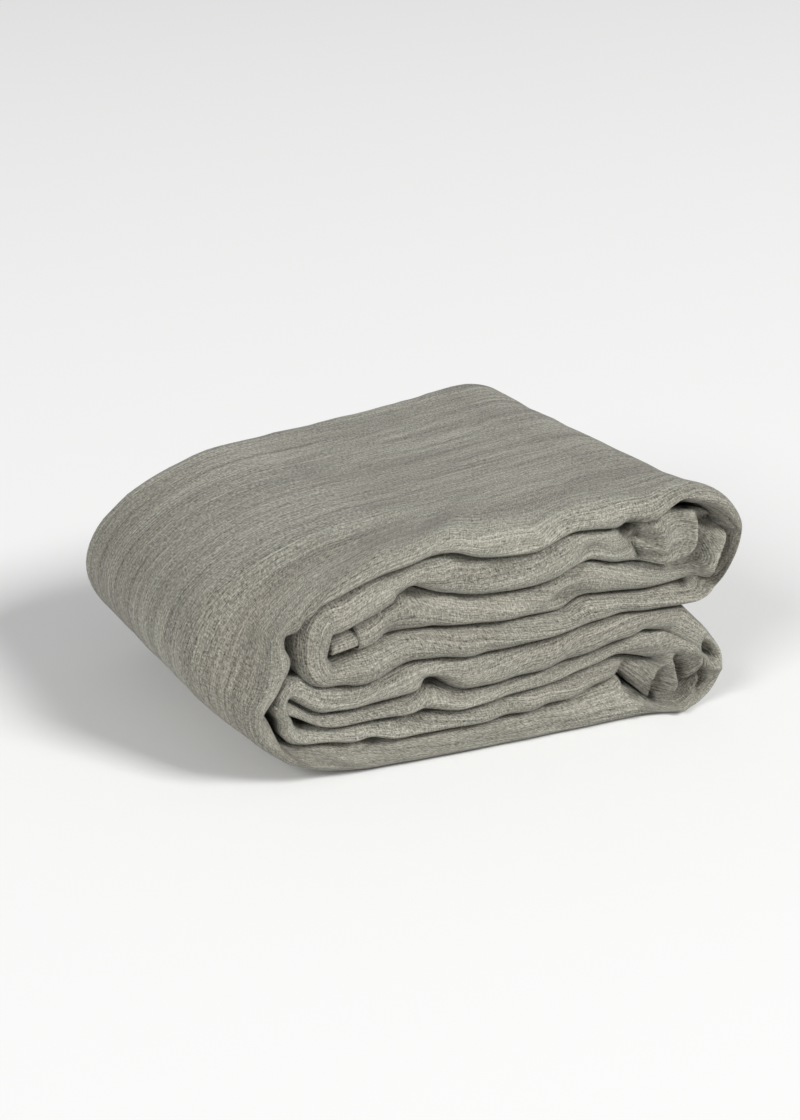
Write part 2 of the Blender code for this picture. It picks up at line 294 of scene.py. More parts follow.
# %% The strip in space
BACK_Y = CAD_BOX[1][1]
FRONT_Y_AT_LOBE = CAD_BOX[0][1]
SPINE_X = CAD_BOX[0][0]
SKEW = 0.1475
FOLD_DEPTH = 62.0  # behind the front by this much, the layers lie level
RISE_TO_FRONT = 0.065  # the share by which the level layers thicken from RISE_END to the front
RISE_END = 230.0
OVERHANG = 2.2  # each fold's lower edge stands this much further forward than its middle
SPINE_DRAW_IN = 12.0  # the spine ends this much short at its back edge
DRAW_IN_END = 235.0
RIM_WANDER = 1.6
RIM_REACH = 14.0  # over this depth behind the front, the overhang fades to about a third
WRAP_CALM = 0.9  # the share of the pleats that the outsides of the rolls lose
BUMP_HEIGHT = 0.5
TOP_CROWN = (3.0, 3.0)  # how much the top rises, and how much more it does towards the lobes
rng = np.random.default_rng(7)


def smooth(t):
    t = np.clip(t, 0, 1)
    return t * t * (3 - 2 * t)


def front_y(x_mm):
    """Y of the front fold in metres: it draws in from the lobes to the spine."""
    return FRONT_Y_AT_LOBE + SKEW * (374 - x_mm) * MM


WAVES = [(rng.uniform(1 / 70, 1 / 24), rng.uniform(0, 6.28), rng.uniform(0.4, 1.0)) for _ in range(14)]
BUMPS = [(rng.normal(0, 1 / 38), rng.normal(0, 1 / 60), rng.uniform(0, 6.28)) for _ in range(22)]


def rim_wander(s_mm):
    """How far a front fold stands forward or back along the strip, between -1 and 1."""
    total = sum(a * np.sin(s_mm * k * 6.28 + p) for k, p, a in WAVES)
    return total / 3.2


def soft_bumps(s_mm, w_mm):
    total = sum(np.sin(6.28 * (kx * s_mm + ky * w_mm) + p) for kx, ky, p in BUMPS)
    return total / len(BUMPS) ** 0.5


# %% [markdown]
# ## Pleats in the turns
# Where the strip turns, its inner side is too long for the tight bend and bunches up into pleats
# that meet at the turn's middle. They are laid into the front folds as crests and valleys that
# fade out with depth. Longer runs have a few hollows, where the layers were pushed together.

# %% Pleats and hollows, in millimetres on the front
# A pleat's crest or valley: its line, and how far forward it stands.
PLEATS = [
    ([(310, 151), (322, 161), (335, 172)], 4),
    ([(332, 155), (331, 143), (328, 131), (320, 122), (310, 117)], 10),
    ([(362, 134), (354, 126), (348, 118), (344, 110), (342, 103)], 10),
    ([(339, 156), (350, 150), (361, 139)], 5),
    ([(306, 146), (310, 131), (311, 119)], 6),
    ([(294, 141), (300, 132), (304, 123)], -24),
    ([(324, 116), (331, 118), (337, 128)], -27),
    ([(335, 138), (346, 138), (357, 136)], -16),
    ([(351, 107), (356, 119), (361, 126)], -24),
    ([(343, 99), (349, 94), (355, 89)], -20),
    ([(293, 64), (306, 60), (321, 56), (335, 51)], 4),
    ([(316, 44), (308, 38), (302, 30), (302, 20), (306, 11)], 7),
    ([(320, 41), (322, 27), (323, 12)], 6),
    ([(337, 50), (346, 40), (347, 31), (345, 23), (338, 13), (329, 7)], 7),
    ([(354, 31), (361, 29)], 3),
    ([(293, 37), (297, 31), (298, 23)], -22),
    ([(311, 32), (313, 17)], -8),
    ([(326, 39), (332, 30), (331, 18)], -25),
    ([(351, 43), (357, 38)], -19),
    ([(350, 26), (353, 18), (348, 10)], -19),
]
PLEAT_REACH = 8.0  # away from every pleat by this much, the front is half as uneven
PLEAT_EDGE = 0.5  # rounds the crests; larger is rounder
# A hollow: its middle, half length and half width, the turn of its length in degrees, and its
# depth, of which about half is left at the half length and half width.
HOLLOWS = [
    ((137, 122), (10, 4.5), -20, 14),
    ((154, 55), (10, 4), -25, 16),
    ((136, 33), (9, 4), 10, 13),
    ((107, 21), (8, 3), -10, 10),
    ((240, 99), (12, 6), 20, 12),
    ((196, 131), (14, 4), 0, 9),
    ((241, 152), (13, 5), 12, 8),
    ((214, 145), (9, 4.5), 0, 6),
    ((262, 132), (10, 4.5), 5, 8),
    ((180, 106), (16, 6), 0, 4),
    ((300, 88), (20, 4), 5, 3),
    ((120, 100), (10, 5), 25, 5),
]
PLEAT_DEPTH = 36.0  # over this depth behind the front, the pleats fade to about a third


def relief(x, z):
    """Forward displacement in millimetres at a place on the front."""
    # Between a crest and a valley the cloth runs from one to the other: the nearer line counts more.
    total, weights = np.zeros_like(x), np.full_like(x, PLEAT_REACH ** -2.0)
    for line, height in PLEATS:
        nearest = np.full_like(x, 1e6)
        for (x0, z0), (x1, z1) in zip(line, line[1:]):
            dx, dz = x1 - x0, z1 - z0
            t = np.clip(((x - x0) * dx + (z - z0) * dz) / (dx * dx + dz * dz), 0, 1)
            nearest = np.minimum(nearest, (x - x0 - t * dx) ** 2 + (z - z0 - t * dz) ** 2)
        total += height / (nearest + PLEAT_EDGE)
        weights += 1 / (nearest + PLEAT_EDGE)
    down = np.zeros_like(x)
    for (xc, zc), (long, wide), angle, depth in HOLLOWS:
        c, s = math.cos(math.radians(angle)), math.sin(math.radians(angle))
        u, v = (c * (x - xc) + s * (z - zc)) / long, (-s * (x - xc) + c * (z - zc)) / wide
        down = np.maximum(down, depth * np.exp(-0.7 * (u * u + v * v)))
    return total / weights - down


# The pleats leave the outsides of the two rolls almost smooth.
WRAPS = np.isin(MARKS, ["C>T", "T>G", "G", "G>D"]).astype(float)
WRAPS = np.convolve(np.pad(WRAPS, 6, "edge"), np.full(13, 1 / 13), "valid")


def place(station, w, n):
    """Points in metres. station, w in millimetres and n are arrays of one shape."""
    low = np.clip(np.floor(station).astype(int), 0, STATIONS - 2)
    part = (station - low)[..., None]

    def at(side):
        return side[low] * (1 - part) + side[low + 1] * part

    blend = smooth(w / FOLD_DEPTH)[..., None]
    lift = 1 + RISE_TO_FRONT * (1 - np.clip(w / RISE_END, 0, 1))[..., None]
    stretch = np.concatenate([np.ones_like(lift), lift], axis=-1)
    inner = at(FRONT_IN) * (1 - blend) + at(DEEP_IN) * blend * stretch
    outer = at(FRONT_OUT) * (1 - blend) + at(DEEP_OUT) * blend * stretch
    flat = (inner + outer) / 2 + n[..., None] * (outer - inner) / 2
    x, z = flat[..., 0], flat[..., 1]
    s_mm = np.interp(station, np.arange(STATIONS), RUN_LENGTH) / MM
    near = np.exp(-np.clip(w, 0, None) / PLEAT_DEPTH)
    thick = np.abs(outer - inner)[..., 1]
    tilt = (z - (inner + outer)[..., 1] / 2) / np.maximum(thick / 2, 4)
    rim = np.exp(-np.clip(w, 0, None) / RIM_REACH)
    wrap = np.interp(station, np.arange(STATIONS), WRAPS) * smooth((n + 0.1) / 0.9)
    forward = (relief(x, z) + RIM_WANDER * rim_wander(s_mm)) * near * (1 - WRAP_CALM * wrap)
    forward = forward - OVERHANG * np.clip(tilt, -1, 1) * rim
    y = front_y(x) / MM + w - forward
    deep = np.clip(w / DRAW_IN_END, 0, 1)
    top = smooth((z - 100) / 50)
    z = z + BUMP_HEIGHT * soft_bumps(s_mm, w) * smooth(w / 30) * smooth((z + 2) / 30)
    crown = TOP_CROWN[0] + TOP_CROWN[1] * smooth((x - 220) / 130)
    z = z + top * smooth((x - 60) / 200) * crown * smooth(w / 60)
    x = x + SPINE_DRAW_IN * deep * (1 - smooth(x / 150))
    return np.stack([SPINE_X + x * MM, y * MM, z * MM], axis=-1)


# %% [markdown]
# ## The two panels, folded eight deep
# Across the strip, each panel runs from one side seam to the other in eight widths, which zigzag
# between the front folds and the back edges. The order in the stack is the order that folding in
# half three times gives. The widths that show are cut finely and those between them coarsely.

# %% Across the strip
WIDTH_STACK = [6, 1, 2, 5, 4, 3, 0, 7]  # the eighths of the cover's width, outermost in the stack first
NOSE = 13.0  # how far the front fold's round reaches back, in millimetres
NEST = 9.0  # how far behind the outermost fold the tightest ones lie
SKIPPED = 3  # the hidden widths have a third of the stations


def sublayer(width_index, panel):
    stack = WIDTH_STACK.index(width_index)
    face_first = width_index % 2 == 0
    if panel == "face":
        return 2 * stack + (0 if face_first else 1)
    return 2 * stack + (1 if face_first else 0)


# %% Columns: how each eighth zigzags between the front folds and the back edges
# A column is (share of the cover's width, depth in millimetres, share of the strip's width, n).
ROUND = 2.1  # above 2, a fold's nose is squarer than a half circle


def fold_columns(n_from, n_to, steps):
    """Depth and n round a fold from one width to the next, without its two ends."""
    half, middle = abs(n_to - n_from) / 2, (n_to + n_from) / 2
    side = 1 if n_to > n_from else -1
    nest = NEST * (1 - half)
    depth = NOSE * half + 0.8
    columns = []
    for angle in np.linspace(-math.pi / 2, math.pi / 2, steps)[1:-1]:
        c, s = math.cos(angle), math.sin(angle)
        back = depth * (1 - abs(c) ** (2 / ROUND))
        n = middle + side * half * math.copysign(abs(s) ** (2 / ROUND), s)
        columns.append((nest + back, n))
    return nest + depth, columns


NEAR_END = 70.0  # in front of this depth, the columns lie closer together


def straight_depths(front, back, near_steps, far_steps, from_front):
    """Depths of a width, as (millimetres, share of strip width), given its two ends' insets."""
    near = [(w, 0.0) for w in np.linspace(front, NEAR_END, near_steps)]
    far = [(NEAR_END * (1 - t) - back * t, t) for t in np.linspace(0, 1, far_steps)[1:]]
    depths = near + far
    return depths if from_front else depths[::-1]


def across(panel, visible):
    """All columns of a panel, and the numbers of those that are cut finely."""
    n_of = [1 - 2 * sublayer(j, panel) / 15 for j in range(8)]
    columns, fine = [], []
    eighth = 1 / 8
    for j in range(8):
        shown = visible and j == 6
        half_shown = visible and j == 7
        to_front = j % 2 == 0
        front_fold = j + 1 if to_front else j - 1
        back_fold = j - 1 if to_front else j + 1
        front, _ = fold_columns(n_of[j], n_of[front_fold], 3)
        back = 4.0 + 1.5 * (j == 7)
        if 0 <= back_fold <= 7:
            back, _ = fold_columns(n_of[j], n_of[back_fold], 3)
        near_steps = 13 if shown else (10 if half_shown else 3)
        far_steps = 14 if shown else 3
        depths = straight_depths(front, back, near_steps, far_steps, not to_front)
        share = np.linspace(0.02, 0.98, len(depths))
        for k, (a, b) in enumerate(depths):
            if shown or (half_shown and b == 0.0):
                fine.append(len(columns))
            columns.append(((j + share[k]) * eighth, a, b, n_of[j]))
        if j == 7:
            break
        steps = 33 if visible and j == 6 else 7
        _, fold = fold_columns(n_of[j], n_of[j + 1], steps)
        for k, (w, n) in enumerate(fold):
            if visible and j == 6:
                fine.append(len(columns))
            at = (j + 1 + (k - len(fold) / 2) * 0.002) * eighth
            columns.append((at, w, 0.0, n) if to_front else (at, -w, 1.0, n))
    return np.array(columns), fine


BACK_INSET = 2.5
BACK_WAVES = [(2.0, 97.0, 1.0), (1.2, 31.0, 0.0)]  # how high, how long for each radian, and the start


def strip_width(station):
    """Front fold to back edge at a station, in millimetres, a little uneven as folded cloth is."""
    middle = (FRONT_IN + FRONT_OUT)[:, 0] / 2
    x = np.interp(station, np.arange(STATIONS), middle)
    s_mm = np.interp(station, np.arange(STATIONS), RUN_LENGTH) / MM
    uneven = sum(height * np.sin(s_mm / length + start) for height, length, start in BACK_WAVES)
    return (BACK_Y - front_y(x)) / MM - BACK_INSET - uneven


# %% Where along the strip a length in millimetres lies, also a little past its ends
def station_at(s_mm):
    s = np.asarray(s_mm, float) * MM
    past = np.minimum(s, 0) / RUN_LENGTH[1]
    past = past + np.maximum(s - RUN_LENGTH[-1], 0) / (RUN_LENGTH[-1] - RUN_LENGTH[-2])
    return np.interp(s, RUN_LENGTH, np.arange(STATIONS)) + past


def grid_points(columns, stations, squeeze=1.0, shift=0.0):
    """Points of a cloth: a row for each station, a column for each place across the cover."""
    width = strip_width(stations)
    grid_w = columns[None, :, 1] + columns[None, :, 2] * width[:, None]
    grid_s = np.repeat(stations[:, None], len(columns), axis=1)
    grid_n = np.repeat(columns[None, :, 3] * squeeze + shift, len(stations), axis=0)
    return place(grid_s, grid_w, grid_n)


def thread_lengths(points, fine):
    """Lengths along the strip and across it, in metres, so that the weave isn't stretched."""
    steps = np.linalg.norm(np.diff(points, axis=0), axis=2)[:, fine].mean(axis=1)
    along = np.concatenate([[0], np.cumsum(steps)])
    across_it = np.linalg.norm(np.diff(points, axis=1), axis=2)
    across_it = np.concatenate([np.zeros((len(points), 1)), np.cumsum(across_it, axis=1)], axis=1)
    across_it = across_it - across_it[:, fine[:1]]
    # Evened out along the strip, so that the threads run along each fold without wriggling.
    reach = min(60, len(points) // 2)
    weight = np.exp(-0.5 * (np.arange(-reach, reach + 1) / 26) ** 2)
    padded = np.pad(across_it, ((reach, reach), (0, 0)), "edge")
    evened = sum(w * padded[i:i + len(points)] for i, w in enumerate(weight / weight.sum()))
    return along, evened


def new_piece(name, verts, faces, uv=None):
    """A mesh object with its place in its mesh, and a UV map named cloth if it has one."""
    mesh = bpy.data.meshes.new(name)
    mesh.from_pydata([tuple(v) for v in verts], [], faces)
    if uv is not None:
        layer = mesh.uv_layers.new(name="cloth")
        index = np.empty(len(mesh.loops), np.int32)
        mesh.loops.foreach_get("vertex_index", index)
        layer.data.foreach_set("uv", np.asarray(uv)[index].astype(np.float32).ravel())
    mesh.shade_smooth()
    obj = bpy.data.objects.new(name, mesh)
    bpy.context.scene.collection.objects.link(obj)
    triangles = sum(len(f) - 2 for f in faces)
    print(name, len(verts), "points", triangles, "triangles")
    return obj


# %% The panel's mesh: fine rows where it shows, every third row where it doesn't
def panel_mesh(name, panel, visible, first_station):
    columns, fine = across(panel, visible)
    rows = int((STATIONS - 1 - first_station) // SKIPPED) * SKIPPED + 1
    stations = np.linspace(first_station, STATIONS - 1, rows)
    points = grid_points(columns, stations)
    along, across_it = thread_lengths(points, fine or [len(columns) * 3 // 4])
    is_fine = np.zeros(len(columns), bool)
    is_fine[fine] = True
    number = -np.ones((rows, len(columns)), int)
    kept = np.repeat(is_fine[None, :], rows, axis=0)
    kept[::SKIPPED] = True
    number[kept] = np.arange(kept.sum())
    uv = np.stack([np.repeat(along[:, None], len(columns), 1), across_it], -1)[kept]
    faces = []
    for c in range(len(columns) - 1):
        left, right = number[:, c], number[:, c + 1]
        if is_fine[c] == is_fine[c + 1]:
            step = 1 if is_fine[c] else SKIPPED
            left, right = left[::step], right[::step]
            faces += np.column_stack([left[:-1], left[1:], right[1:], right[:-1]]).tolist()
            continue
        many, few = (left, right) if is_fine[c] else (right, left)
        fans = []
        for r in range(0, rows - 1, SKIPPED):
            fans += [(many[r], many[r + 1], few[r]), (many[r + 1], many[r + 2], few[r + 3], few[r]),
                     (many[r + 2], many[r + 3], few[r + 3])]
        faces += [f if is_fine[c] else tuple(reversed(f)) for f in fans]
    return new_piece(name, points[kept], faces, uv)


HEM_WIDTH = 20.0
UNDER_HEM_STEP = 18.0
SEAM_WIDTH = 8.0
face_panel = panel_mesh("face_panel_cloth", "face", True, float(station_at(HEM_WIDTH - 1)))
back_panel = panel_mesh("back_panel_cloth", "back", False, 0.0)

# %% [markdown]
# ## Hems and seams
# A placket is the doubled, turned-in end of a panel. On the real cover the buttonhole placket ends
# a little short of the button placket, which shows past it. The sides and the closed end are
# overlocked: the two panels' allowances are held together by a thin thread that runs over the
# edge. These bands follow the same folds as the panels, so they are cut from the same grid of
# points, and only get a thickness of their own.

# %% Bands across and along the strip
def closed_band(name, points, thickness, uv):
    """A band of cloth with both its faces and its edges closed."""
    rows, count = points.shape[:2]
    number = np.arange(rows * count).reshape(rows, count)
    faces = np.stack([number[:-1, :-1], number[1:, :-1], number[1:, 1:], number[:-1, 1:]], -1)
    obj = new_piece(name, points.reshape(-1, 3), faces.reshape(-1, 4).tolist(), uv.reshape(-1, 2))
    wall = obj.modifiers.new("cloth_thickness", "SOLIDIFY")
    wall.thickness = thickness
    wall.offset = 0.0
    bake(obj)
    return obj


def bake(obj):
    """Turns a piece's modifiers into its plain mesh."""
    evaluated = obj.evaluated_get(bpy.context.evaluated_depsgraph_get())
    mesh = bpy.data.meshes.new_from_object(evaluated)
    obj.modifiers.clear()
    old, obj.data = obj.data, mesh
    bpy.data.meshes.remove(old)


def cross_band(name, panel, s_from, s_to, thickness, squeeze=1.0, shift=0.0, rows=9):
    """A band across the whole cover, from one length along the strip to another."""
    columns, fine = across(panel, True)
    points = grid_points(columns, station_at(np.linspace(s_from, s_to, rows)), squeeze, shift)
    along, across_it = thread_lengths(points, fine)
    uv = np.stack([np.repeat(along[:, None] + s_from * MM, len(columns), 1), across_it], -1)
    return closed_band(name, points, thickness, uv)


STRIP_END = RUN_LENGTH[-1] / MM
CLOTH_END = STRIP_END + SEAM_WIDTH - 3
HALF_SUBLAYER = 1 / 15
buttonhole_placket = cross_band("buttonhole_placket_hem", "face", 0.0, HEM_WIDTH, 0.0011)
button_placket = cross_band("button_placket_hem", "back", -UNDER_HEM_STEP, 2.0, 0.0010, squeeze=0.72)
closed_end = cross_band("closed_end_overlock", "face", STRIP_END - 1, CLOTH_END, 0.0012, squeeze=0.8)

# %% The side seams, along both edges of the cloth at the back
SIDE_SEAMS = {"left": 0, "right": 7}  # the eighth of the width that each seam closes


def side_band(name, eighth):
    stations = np.linspace(station_at(HEM_WIDTH), STATIONS - 1, STATIONS // 2)
    n = 1 - (sublayer(eighth, "face") + sublayer(eighth, "back")) * HALF_SUBLAYER
    behind = np.array([-SEAM_WIDTH, -5.0, -2.0, 0.5])
    width = strip_width(stations)[:, None] + behind[None, :]
    grid = np.repeat(stations[:, None], len(behind), axis=1)
    points = place(grid, width, np.full(grid.shape, n))
    along, across_it = thread_lengths(points, [0])
    uv = np.stack([np.repeat(along[:, None], len(behind), 1), across_it], -1)
    return closed_band(name, points, 0.0012, uv), points[:, -1], points[:, -2]


side_seams, seam_edges = {}, {}
for side, eighth in SIDE_SEAMS.items():
    side_seams[side], edge, inside = side_band(f"side_seam_{side}_overlock", eighth)
    seam_edges[side] = (edge, inside)

# %% [markdown]
# ## Stitches and buttons
# A stitch is one short length of thread that dips into the cloth at both ends. A seam repeats it
# thousands of times along a line, so Geometry Nodes place it: a line becomes a curve, the curve is
# cut into equal steps, and each step gets one stitch, turned along the line and upright on the
# cloth. The same tree sets the row of buttons.

# %% A node tree that repeats an item along a line
def node(tree, kind, settings=None, **inputs):
    """Adds a node; settings are its properties, inputs its values or links by socket name."""
    made = tree.nodes.new(kind)
    for key, value in (settings or {}).items():
        setattr(made, key, value)
    for key, value in inputs.items():
        socket = made.inputs[int(key[1:]) if key[0] == "_" and key[1:].isdigit() else key.replace("_", " ")]
        if isinstance(value, bpy.types.NodeSocket):
            tree.links.new(value, socket)
        else:
            socket.default_value = value
    return made


def row_tree():
    tree = bpy.data.node_groups.new("row_along_a_line", "GeometryNodeTree")
    sockets = {"Line": "NodeSocketGeometry", "Item": "NodeSocketObject", "Count": "NodeSocketInt",
               "Uneven": "NodeSocketFloat", "Seed": "NodeSocketInt", "Finish": "NodeSocketMaterial"}
    for label, kind in sockets.items():
        tree.interface.new_socket(label, in_out="INPUT", socket_type=kind)
    tree.interface.new_socket("Row", in_out="OUTPUT", socket_type="NodeSocketGeometry")
    given = tree.nodes.new("NodeGroupInput").outputs
    curve = node(tree, "GeometryNodeMeshToCurve", Mesh=given["Line"])
    even = node(tree, "GeometryNodeResampleCurve", {"mode": "COUNT"}, Curve=curve.outputs[0],
                Count=given["Count"])
    tangent = node(tree, "GeometryNodeInputTangent")
    upright = node(tree, "GeometryNodeInputNamedAttribute", {"data_type": "FLOAT_VECTOR"}, Name="upright")
    turned = node(tree, "FunctionNodeAlignRotationToVector", {"axis": "X"}, Vector=tangent.outputs[0])
    raised = node(tree, "FunctionNodeAlignRotationToVector", {"axis": "Z", "pivot_axis": "X"},
                  Rotation=turned.outputs[0], Vector=upright.outputs[0])
    low = node(tree, "ShaderNodeMath", {"operation": "SUBTRACT"}, _0=1.0, _1=given["Uneven"])
    high = node(tree, "ShaderNodeMath", {"operation": "ADD"}, _0=1.0, _1=given["Uneven"])
    size = node(tree, "FunctionNodeRandomValue", {"data_type": "FLOAT"}, _2=low.outputs[0],
                _3=high.outputs[0], Seed=given["Seed"])
    item = node(tree, "GeometryNodeObjectInfo", Object=given["Item"])
    row = node(tree, "GeometryNodeInstanceOnPoints", Points=even.outputs[0],
               Instance=item.outputs["Geometry"], Rotation=raised.outputs[0], Scale=size.outputs[1])
    plain = node(tree, "GeometryNodeRealizeInstances", Geometry=row.outputs[0])
    finished = node(tree, "GeometryNodeSetMaterial", Geometry=plain.outputs[0], Material=given["Finish"])
    node(tree, "NodeGroupOutput", Row=finished.outputs[0])
    return tree


ROW_TREE = row_tree()


def row_along(name, lines, item, spacing, finish, uneven=0.06):
    """One piece: an item repeated along each line, where a line is (points, upright vectors)."""
    parts = []
    for number, (points, upright) in enumerate(lines):
        mesh = bpy.data.meshes.new(f"{name}_{number}")
        mesh.from_pydata([tuple(p) for p in points], [(i, i + 1) for i in range(len(points) - 1)], [])
        mesh.attributes.new("upright", "FLOAT_VECTOR", "POINT").data.foreach_set(
            "vector", np.asarray(upright, np.float32).ravel())
        part = bpy.data.objects.new(f"{name}_{number}", mesh)
        bpy.context.scene.collection.objects.link(part)
        length = np.linalg.norm(np.diff(np.asarray(points), axis=0), axis=1).sum()
        values = {"Item": item, "Count": round(length / spacing) + 1, "Uneven": uneven, "Seed": 11 + number,
                  "Finish": finish}
        row = part.modifiers.new("row", "NODES")
        row.node_group = ROW_TREE
        for socket in ROW_TREE.interface.items_tree:
            if socket.name in values:
                row[socket.identifier] = values[socket.name]
        bake(part)
        parts.append(part)
    whole = parts[0]
    whole.name = name
    whole.data.name = name
    if len(parts) > 1:
        joined = bmesh.new()
        for part in parts:
            joined.from_mesh(part.data)
        joined.to_mesh(whole.data)
        joined.free()
        for part in parts[1:]:
            bpy.data.objects.remove(part)
    print(name, len(whole.data.polygons), "faces")
    return whole


# %% [markdown]
# ## The cloth
# The cover is yarn-dyed melange: pale and dark fibres are spun together, so each thread changes
# colour every few centimetres, and slubs run along the strip as short streaks. The pattern could
# be painted over the finished bundle, but then it would slide across the folds. It is drawn in
# the cloth's own measures instead, along the strip and across it, and so follows every fold. The
# threads are about half a millimetre apart, too fine to show, so they are drawn at 1.2 mm.

# %% Colours
def linear(hex_colour):
    """An sRGB hex colour as linear RGBA."""
    values = [int(hex_colour[i:i + 2], 16) / 255 for i in (0, 2, 4)]
    return [v / 12.92 if v <= 0.04045 else ((v + 0.055) / 1.055) ** 2.4 for v in values] + [1.0]


def woven(name, roughness, sheen):
    """A cloth-like material: its tree, its shader and the piece's own UV map."""
    material = bpy.data.materials.new(name)
    material.use_nodes = True
    tree = material.node_tree
    shader = tree.nodes["Principled BSDF"]
    shader.inputs["Roughness"].default_value = roughness
    shader.inputs["Specular IOR Level"].default_value = 0.2
    shader.inputs["Sheen Weight"].default_value = sheen
    shader.inputs["Sheen Roughness"].default_value = 0.5
    return material, tree, shader, node(tree, "ShaderNodeUVMap", {"uv_map": "cloth"}).outputs["UV"]


# %% Yarn-dyed melange: matt, warm grey, streaked along the strip
THREAD_PITCH = 0.0012
# Each kind of unevenness: its size in metres along and across the strip, and how much it counts.
UNEVENNESS = {
    "dye_lot": (0.150, 0.012, 0.36),
    "streak": (0.130, 0.0017, 0.62),
    "slub": (0.026, 0.0010, 0.45),
    "ply": (0.0036, 0.0009, 0.75),
    "weft": (0.0009, 0.0038, 0.75),
    "fleck": (0.0014, 0.0011, 0.75),
}
DARKEST, PALEST = 1.45, 2.22  # the summed unevenness that gives the dark and the pale thread
MELANGE = {"dark": "2F2D27", "middle": "8B897E", "pale": "C4C2B3"}
MAUVE = "EDEAEA"


def melange_cloth(name):
    material, tree, shader, uv = woven(name, 0.93, 0.12)
    total = 0.0
    for along, across_it, share in UNEVENNESS.values():
        sized = node(tree, "ShaderNodeMapping", Vector=uv, Scale=(1 / along, 1 / across_it, 1.0))
        noise = node(tree, "ShaderNodeTexNoise", Vector=sized.outputs[0], Scale=1.0, Detail=2.0,
                     Roughness=0.65)
        total = node(tree, "ShaderNodeMath", {"operation": "MULTIPLY_ADD"}, _0=noise.outputs["Fac"],
                     _1=share, _2=total).outputs[0]
    level = node(tree, "ShaderNodeMapRange", Value=total, From_Min=DARKEST, From_Max=PALEST)
    shade = node(tree, "ShaderNodeValToRGB", Fac=level.outputs[0])
    shade.color_ramp.elements[0].color = linear(MELANGE["dark"])
    shade.color_ramp.elements[1].color = linear(MELANGE["pale"])
    shade.color_ramp.elements.new(0.5).color = linear(MELANGE["middle"])
    # Patches about 25 by 4 cm take on a little of the mauve.
    wide = node(tree, "ShaderNodeMapping", Vector=uv, Scale=(4.0, 26.0, 1.0))
    patches = node(tree, "ShaderNodeTexNoise", Vector=wide.outputs[0], Scale=1.0, Detail=2.0)
    amount = node(tree, "ShaderNodeMapRange", Value=patches.outputs["Fac"], From_Min=0.42, From_Max=0.66)
    tinted = node(tree, "ShaderNodeMix", {"data_type": "RGBA", "blend_type": "MULTIPLY"})
    tree.links.new(amount.outputs[0], tinted.inputs["Factor"])
    tree.links.new(shade.outputs["Color"], tinted.inputs["A"])
    tinted.inputs["B"].default_value = linear(MAUVE)
    tree.links.new(tinted.outputs["Result"], shader.inputs["Base Color"])
    place_in_cloth = node(tree, "ShaderNodeSeparateXYZ", Vector=uv)
    threads = []
    for axis in "XY":
        turns = node(tree, "ShaderNodeMath", {"operation": "MULTIPLY"}, _0=place_in_cloth.outputs[axis],
                     _1=2 * math.pi / THREAD_PITCH)
        threads.append(node(tree, "ShaderNodeMath", {"operation": "SINE"}, _0=turns.outputs[0]).outputs[0])
    weave = node(tree, "ShaderNodeMath", {"operation": "MULTIPLY"}, _0=threads[0], _1=threads[1])
    height = node(tree, "ShaderNodeMath", {"operation": "MULTIPLY_ADD"}, _0=weave.outputs[0], _1=0.3,
                  _2=total)
    grain = node(tree, "ShaderNodeBump", Height=height.outputs[0], Strength=0.7, Distance=0.0007)
    # Crumples about 26 by 16 mm are left from the wash.
    soft = node(tree, "ShaderNodeMapping", Vector=uv, Scale=(38, 62, 1.0))
    crumple = node(tree, "ShaderNodeTexNoise", Vector=soft.outputs[0], Scale=1.0, Detail=4.0,
                   Roughness=0.55)
    creased = node(tree, "ShaderNodeBump", Height=crumple.outputs["Fac"], Strength=0.3, Distance=0.005,
                   Normal=grain.outputs[0])
    tree.links.new(creased.outputs[0], shader.inputs["Normal"])
    return material


CLOTH = melange_cloth("yarn_dyed_melange_cloth")

# %% [markdown]
# ## Thread, tape, satin and resin
# The sewing thread is spun polyester, two plies twisted together, a shade paler than the cloth.
# The ties are herringbone cotton tape with a dry, matt face. The label is polyester satin: its long
# floating threads give it a soft shine. The buttons are cast resin with a cloudy, horn-like grain.

# %% Thread and resin, whose patterns lie in space
def cast_or_spun(name, dark, pale, size, roughness, distortion):
    """A material whose two colours run into each other: size is the pattern's in metres."""
    material = bpy.data.materials.new(name)
    material.use_nodes = True
    tree = material.node_tree
    shader = tree.nodes["Principled BSDF"]
    shader.inputs["Roughness"].default_value = roughness
    where = node(tree, "ShaderNodeTexCoord")
    sized = node(tree, "ShaderNodeMapping", Vector=where.outputs["Object"], Scale=tuple(1 / v for v in size))
    noise = node(tree, "ShaderNodeTexNoise", Vector=sized.outputs[0], Scale=1.0, Detail=3.0,
                 Distortion=distortion)
    shade = node(tree, "ShaderNodeValToRGB", Fac=noise.outputs["Fac"])
    shade.color_ramp.elements[0].position = 0.35
    shade.color_ramp.elements[1].position = 0.65
    shade.color_ramp.elements[0].color = linear(dark)
    shade.color_ramp.elements[1].color = linear(pale)
    tree.links.new(shade.outputs["Color"], shader.inputs["Base Color"])
    bump = node(tree, "ShaderNodeBump", Height=noise.outputs["Fac"], Strength=0.4, Distance=size[0] / 8)
    tree.links.new(bump.outputs[0], shader.inputs["Normal"])
    return material


THREAD = cast_or_spun("spun_polyester_thread", "7A776B", "A9A696", (0.0004, 0.0004, 0.0004), 0.75, 0.0)
RESIN = cast_or_spun("cast_polyester_resin", "4A4238", "7C7262", (0.004, 0.009, 0.003), 0.32, 1.2)


# %% Tape and satin, whose threads follow the piece
HERRINGBONE_WIDTH = 0.0018


